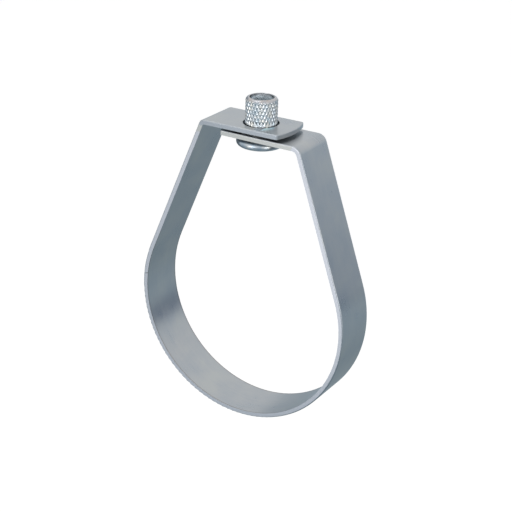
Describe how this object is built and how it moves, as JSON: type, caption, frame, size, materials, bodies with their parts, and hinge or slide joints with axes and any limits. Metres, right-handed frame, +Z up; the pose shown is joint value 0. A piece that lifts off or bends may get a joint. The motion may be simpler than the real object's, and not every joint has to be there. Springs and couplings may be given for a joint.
{
  "type": "swivel ring hanger",
  "caption": "Teardrop steel band with lapped, punched ends and a flanged, knurled rod nut that swivels in them, to hang a pipe from a threaded rod.",
  "frame": {"origin": "centre of the pipe that the ring carries, at the middle of the strip's width", "axes": "+Z up along the rod, +Y along the pipe, +X to the right when the upper flap's bend is on the left"},
  "size_m": [0.0944, 0.0204, 0.1342],
  "materials": {
    "strip_steel": "zinc plated cold rolled strip, softly reflecting, bluish grey",
    "nut_steel": "bright zinc plated turned steel with a sparkling diamond knurl"
  },
  "bodies": {
    "rod_nut": {"swivel_nut": "nut_steel"},
    "ring": {"band": "strip_steel"}
  },
  "joints": [
    {"name": "ring_swivel", "type": "hinge", "parent": "rod_nut", "child": "ring", "pos_m": [0.0012, 0, 0.0716], "axis": [0, 0, 1], "continuous": true}
  ]
}
